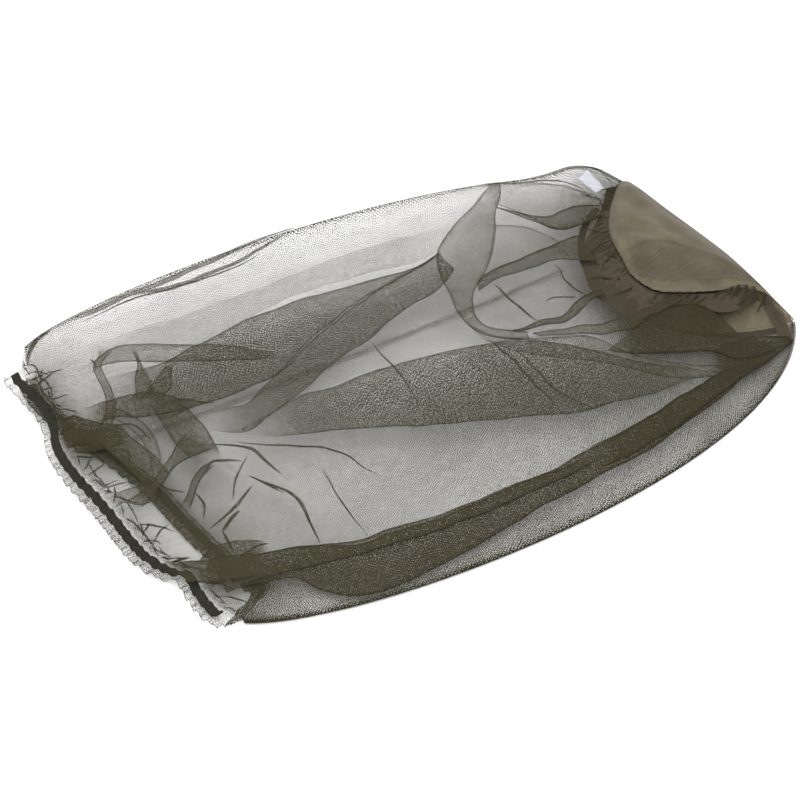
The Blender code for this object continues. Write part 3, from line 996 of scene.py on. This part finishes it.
ELASTIC = elastic_finish()
ELASTIC_RUNS = [                   # name, in the upper layer or not, its ends, its squares and its length
    ("upper", True, 0.078, 0.962, 300, 0.27), ("lower", False, 0.078, 0.90, 260, 0.24),
    ("overlap", False, 0.903, 0.950, 30, 0.013),
]
elastics = {}
for name, upper, start, end, along, length in ELASTIC_RUNS:
    elastics[name] = cloth_piece("elastic_" + name, [elastic_shape(upper, start, end)], along, 12, ELASTIC,
                                 (length, 0.012), weld=WELD)

# %% [markdown]
# ## The crown
#
# The crown is a plainly woven cotton, olive tan and a little glossy where it is smooth. The
# upper half is a sheet between its fold line and its seam, pushed into soft ridges by the
# gathers, and the lower half lies flat under it. The lines where its panels meet are a step and
# a low ridge in the shape; in the colour, painted shade darkens them and the band between them,
# which faces away from the light. Both halves are one cloth on the real veil; the lower one has
# a lighter copy of the finish here, painted light that lifts it where the net and the upper half
# shade it.


# %% Woven cloth's finish
def crown_finish(name, dark, light, rough):
    finish = Finish(name, Roughness=rough, Specular_IOR_Level=0.16, Sheen_Weight=0.05,
                    Sheen_Roughness=0.5)
    place = finish.cloth_place()
    warp = finish.node("ShaderNodeTexWave", {"bands_direction": "X"}, {"Vector": place, "Scale": 620.0})
    weft = finish.node("ShaderNodeTexWave", {"bands_direction": "Y"}, {"Vector": place, "Scale": 620.0})
    clouds = finish.noise(place, 35.0, 4.0, 0.6)
    slubs = finish.noise(finish.stretched(place, (60.0, 900.0, 1.0)), 1.0, 2.0)
    shade = clouds * 0.8 + slubs * 0.5 + warp * weft * 0.35 - 0.35
    # The attribute adds painted shade and painted light: darker bands and lines on the upper half, and a
    # lighter lower half.
    lightness = (shade + finish.attribute("closeness_and_shade") - 1.0).clamped()
    finish.feed("Base Color", finish.between(lightness, dark, light))
    bump = finish.node("ShaderNodeBump", {}, {"Strength": 0.35, "Distance": 0.0002, "Height": warp * weft})
    finish.feed("Normal", bump)
    return finish.material


CROWN = crown_finish("crown_cloth", (0.050, 0.041, 0.026), (0.155, 0.131, 0.087), 0.55)
# A lighter copy of the crown's finish: painted light for the shaded lower half.
CROWN_PAINTED_LIGHT = crown_finish("crown_cloth_painted_light", (0.110, 0.092, 0.060), (0.260, 0.222, 0.152), 0.55)
TAPE = crown_finish("binding_cloth", (0.022, 0.017, 0.010), (0.066, 0.052, 0.033), 0.8)


# %% Upper and lower half
def crown_upper_shape(u, v):
    seam, fold = seam_line(v), fold_line(v)
    x, y, z = mix(fold, seam, (1.015 * (1.0 - (1.0 - u) ** 1.25))[:, None]).T
    held = swelling(u, 0.7) * swelling(v, 0.5)
    dome = 0.004 * held
    first = v - (0.45 + 0.32 * (1.0 - u) ** 4)
    second = v - (0.504 + 0.30 * (1.0 - u))
    step = 0.0090 * (0.5 - smooth(first / 0.11)) * held
    ridge = 0.0022 * np.exp(-(second / 0.02) ** 2) * held
    dents = (0.0014 * SLOW_RIPPLES(x * 2.2, y * 2.2) * held
             + 0.0007 * FINE_RIPPLES(x * 0.8, y * 0.8) * held)
    puckers = (0.0004 * CROWN_GATHERS(v, u) + 0.0012) * smooth((u - 0.80) / 0.20) * np.sin(math.pi * v)
    # Painted shade: the band between the step and the ridge, which faces away from the light, and thin dark
    # lines along the step, the ridge and one more line towards the far end.
    painted_shade = 0.26 * smooth(first / 0.03) * smooth(-second / 0.03) + 0.34 * np.exp(-(first / 0.010) ** 2)
    painted_shade = (painted_shade + 0.34 * np.exp(-(second / 0.010) ** 2)) * swelling(u, 0.4)
    painted_shade = painted_shade + 0.16 * np.exp(-((first + 0.17) / 0.012) ** 2) * held ** 2
    shade = 1.0 - painted_shade - 0.05 * SLOW_RIPPLES(x * 2, y * 2)
    return x, y, z + dome + step + ridge + dents + puckers, shade


def crown_lower_shape(u, v):
    """The lower half: it leaves the fold line, rounds down to the table and lies flat to the circle."""
    fold = fold_line(v)
    edge_x, edge_y = crown_round(mix(0.004, 0.996, v), CROWN_RADIUS * 0.995)
    x, y = mix(fold[:, 0], edge_x, u), mix(fold[:, 1], edge_y, u)
    flat = 0.0016 + 0.0010 * (1.0 - u) + 0.0004 * SLOW_RIPPLES(x * 2.0, y * 2.0)
    x = x + 0.0022 * np.exp(-((u - 0.05) / 0.035) ** 2) * np.sin(math.pi * v)
    # The 1.80 is painted light: it lifts the lower half's colour where the net and the upper half shade it.
    return x, y, mix(fold[:, 2], flat, smooth(u / 0.13)), 1.80 + 0.0 * u


crown_upper = cloth_piece("crown_upper", [crown_upper_shape], 90, 140, CROWN, (0.09, 0.20))
crown_lower = cloth_piece("crown_lower", [crown_lower_shape], 60, 90, CROWN_PAINTED_LIGHT, (0.09, 0.18))

# %% [markdown]
# Where net and crown are sewn together their raw edges lie inside, as a dark doubled band
# that shows through the net all round the seam. Towards the near corner the band also stands in
# for the shade under the upper half's edge, so there its dark is partly painted shade.

# %% Seam allowance of the upper half
ALLOWANCE_EDGE = [(234, 105, 5), (216.6, 104.8, 9), (201.8, 89.8, 13), (184.6, 72.4, 17),
                  (169.4, 58.8, 20), (154.6, 46.7, 23), (140.5, 30.6, 26), (130.2, 15.3, 29),
                  (122, -1.9, 31), (118.4, -13.8, 32), (119.7, -23.4, 32), (122.2, -33.5, 32),
                  (124.3, -43.1, 31), (129.9, -50, 30), (141.7, -47.4, 30), (152.3, -46.4, 30),
                  (164.2, -48.4, 29), (177.1, -54.2, 25), (188.4, -60, 20), (203.9, -59.7, 15),
                  (222.5, -53.6, 10), (233.3, -49.4, 7)]
ALLOWANCE_SEAM = UPPER_SEAM[:-1]
NEAR_BINDING = [[(237.5, -40, 8), (234.4, -44.9, 7), (229.5, -59.7, 6), (224, -75.1, 5),
                 (217.5, -89.5, 4)],
                [(240.5, -40, 8), (238.7, -44.9, 7), (235.2, -64.5, 6), (230.8, -81.7, 5),
                 (225.1, -95.2, 3)]]


def allowance_shape(outer, inner, sink=0.0012):
    """A band of doubled cloth between two edges in millimetres."""
    far, near = smooth_line(metres(outer)), smooth_line(metres(inner))

    def shape(u, v):
        a, b = near(u), far(u)
        x, y, z = mix(a, b, v[:, None]).T
        puckers = 0.0010 * CROWN_GATHERS(u, v * 0.2) + 0.0012 * RUFFLE(u * 0.6 + 0.1 * v)
        return x, y, z - sink + puckers * np.sin(math.pi * v) * np.sin(math.pi * u), 1.0 + 0.0 * u

    return shape


allowance_upper = cloth_piece(
    "allowance_upper",
    [allowance_shape(ALLOWANCE_EDGE, ALLOWANCE_SEAM), allowance_shape(*NEAR_BINDING, -0.0008)],
    160, 12, TAPE, [(0.26, 0.014), (0.06, 0.007)])


def allowance_lower_shape(u, v):
    turn = mix(0.14, 0.95, u)
    x, y = crown_round(turn, CROWN_RADIUS + mix(0.0, 0.005, v))
    return x, y, 0.0018 + 0.0003 * CROWN_GATHERS(turn), 1.0 + 0.0 * u


allowance_lower = cloth_piece("allowance_lower", [allowance_lower_shape], 120, 6, TAPE, (0.22, 0.005))

# %% [markdown]
# ## Seam of the tube, stitches and label
#
# The tube is closed by one seam in the lower layer. Rows of short stitches hold the crown and
# the casing, and a small blank label is caught in the crown's seam at the far side.


# %% Seam of the tube
TUBE_SEAM = 0.36                   # where the seam runs, as a share of the lower layer's width
SEAM_SHARE = 0.0184                # its own width, as such a share


def seam_shape(u, v):
    x, y, z = lower_place(mix(0.08, 0.94, u), TUBE_SEAM + (v - 0.5) * SEAM_SHARE)
    return x, y, z + 0.0004, 0.16 + 0.0 * u


tube_seam = cloth_piece("tube_seam", [seam_shape], 200, 4, NET, (0.42, 0.005))


# %% Stitches
def stitch_finish():
    finish = Finish("sewing_thread", Roughness=0.55, Sheen_Weight=0.2)
    twist = finish.noise(finish.cloth_place(), 3000.0, 2.0)
    finish.feed("Base Color", finish.between(twist, (0.050, 0.044, 0.028), (0.120, 0.108, 0.072)))
    return finish.material


THREAD = stitch_finish()
THREAD_RADIUS = 0.00022


def stitch_row(name, path, length, pitch=0.0028):
    """Short arched stitches along a path, which is a function from 0..1 to places."""
    count = int(length / pitch)
    shapes = []
    for k in range(count):
        start, end = path(np.array([k / count, (k + 0.72) / count]))

        def shape(u, v, start=start, end=end):
            ahead = (end - start) / max(np.linalg.norm(end - start), 1e-9)
            aside = np.cross(ahead, (0.0, 0.0, 1.0))
            thin = THREAD_RADIUS * swelling(u, 0.5)
            turn = 2.0 * math.pi * v
            place = start + np.outer(u, end - start) + np.outer(thin * np.cos(turn), aside)
            lift = thin * np.sin(turn) + THREAD_RADIUS * swelling(u, 1)
            return place[:, 0], place[:, 1], place[:, 2] + lift, 1.0 + 0.0 * u

        shapes.append(shape)
    return cloth_piece(name, shapes, 4, 5, THREAD, [(pitch, 0.0014)] * count, weld=0.00001)


def neck_row(upper):
    def path(t):
        x, y, z = neck_edge(mix(0.03, 0.97, t), upper)
        droop = 0.0003 if upper else 0.0
        lift = 0.0011 if upper else 0.0022
        return np.column_stack([x - 0.0016, y, z - droop + lift])

    return path


def tube_row(t):
    x, y, z = lower_place(mix(0.09, 0.93, t), TUBE_SEAM + 0.0 * t)
    return np.column_stack([x, y, z + 0.0006])


def crown_row_lower(t):
    x, y = crown_round(mix(0.03, 0.97, t), CROWN_RADIUS * 0.975)
    return np.column_stack([x, y, 0.0026 + 0.0 * t])


def crown_row_upper(t):
    place = crown_upper_shape(np.full_like(t, 0.965), mix(0.03, 0.80, t))
    return np.column_stack([place[0], place[1], place[2] + 0.0003])


stitches = {
    "crown_upper": stitch_row("stitches_crown_upper", crown_row_upper, 0.20),
    "crown_lower": stitch_row("stitches_crown_lower", crown_row_lower, 0.26),
    "neck_upper": stitch_row("stitches_neck_upper", neck_row(True), 0.26),
    "neck_lower": stitch_row("stitches_neck_lower", neck_row(False), 0.26),
    "tube": stitch_row("stitches_tube", tube_row, 0.40, 0.0035),
}


# %% Label
def label_finish():
    finish = Finish("satin_label", Roughness=0.35, Specular_IOR_Level=0.5, Sheen_Weight=0.3)
    place = finish.cloth_place()
    rows = finish.node("ShaderNodeTexWave", {"bands_direction": "Y"}, {"Vector": place, "Scale": 900.0})
    clouds = finish.noise(place, 120.0, 2.0)
    shade = (rows * 0.4 + clouds * 0.6).clamped()
    finish.feed("Base Color", finish.between(shade, (0.34, 0.34, 0.38), (0.46, 0.46, 0.50)))
    bump = finish.node("ShaderNodeBump", {}, {"Strength": 0.2, "Distance": 0.0001, "Height": rows})
    finish.feed("Normal", bump)
    return finish.material


LABEL_SIZE = (0.0115, 0.016)
LABEL_TURN = (0.94, 0.34)          # cosine and sine of how far it is turned, 20 degrees
label_low, label_high = (Vector(corner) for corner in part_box("care_label"))
label_middle = (label_low + label_high) / 2
print("label stands at", [round(c, 4) for c in label_middle])


def label_shape(u, v):
    across = (u - 0.5) * LABEL_SIZE[0]
    along = (v - 0.5) * LABEL_SIZE[1]
    x = label_middle.x - LABEL_TURN[0] * across - LABEL_TURN[1] * along
    y = label_middle.y - LABEL_TURN[1] * across + LABEL_TURN[0] * along
    return x, y, ground(x, y) + 0.0012 + 0.0006 * np.sin(3.0 * u + 2.0 * v), 1.0 + 0.0 * u


label = cloth_piece("label", [label_shape], 14, 20, label_finish(), (0.014, 0.020))

# %% [markdown]
# ## Placing the pieces
#
# When the neck is opened the upper layer lifts about the crown's fold line, while the lower
# layer stays on the table. Here each piece's place is baked into its mesh, the upper layer's
# pieces first and then the lower layer's, and only the label is hung on a body. A table lists
# each piece with a slot name and the part of the imported model that it stands for, and those
# parts are hidden.

# %% Bodies, slots and the nodes that each piece stands for
for piece in (net_upper, folds_long, folds_swag, folds_neck, creases, gathered, casings["upper"],
              elastics["upper"], stitches["neck_upper"], stitches["crown_upper"], crown_upper,
              allowance_upper):
    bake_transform(piece)
for piece in (net_lower, casings["lower"], elastics["lower"], elastics["overlap"],
              stitches["neck_lower"], tube_seam, stitches["tube"], crown_lower, allowance_lower,
              stitches["crown_lower"]):
    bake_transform(piece)
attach(label, "label")

STANDS_FOR = [
    (net_upper, "net", "net_front"), (net_lower, "net", "net_back"), (folds_long, "net", None),
    (folds_swag, "net", None), (folds_neck, "net", None), (creases, "net", None),
    (gathered, "net", None), (casings["upper"], "net", "neck_casing_front"),
    (casings["lower"], "net", "neck_casing_back"),
    (elastics["upper"], "elastic", "neck_elastic_front"),
    (elastics["lower"], "elastic", "neck_elastic_back"),
    (elastics["overlap"], "elastic", "elastic_join"), (tube_seam, "net", "net_seam"),
    (stitches["tube"], "thread", "net_seam_stitch"),
    (stitches["neck_upper"], "thread", "neck_stitch_front"),
    (stitches["neck_lower"], "thread", "neck_stitch_back"),
    (stitches["crown_upper"], "thread", "crown_stitch_front"),
    (stitches["crown_lower"], "thread", "crown_stitch_back"),
    (crown_upper, "crown_cloth", "crown_front"), (crown_lower, "crown_cloth", "crown_back"),
    (allowance_upper, "binding_tape", "crown_binding_front"),
    (allowance_lower, "binding_tape", "crown_binding_back"), (label, "label", "care_label"),
]
for piece, slot, node in STANDS_FOR:
    if node:
        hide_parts(node)

# %% How many pieces there are
print("pieces:", len(STANDS_FOR))
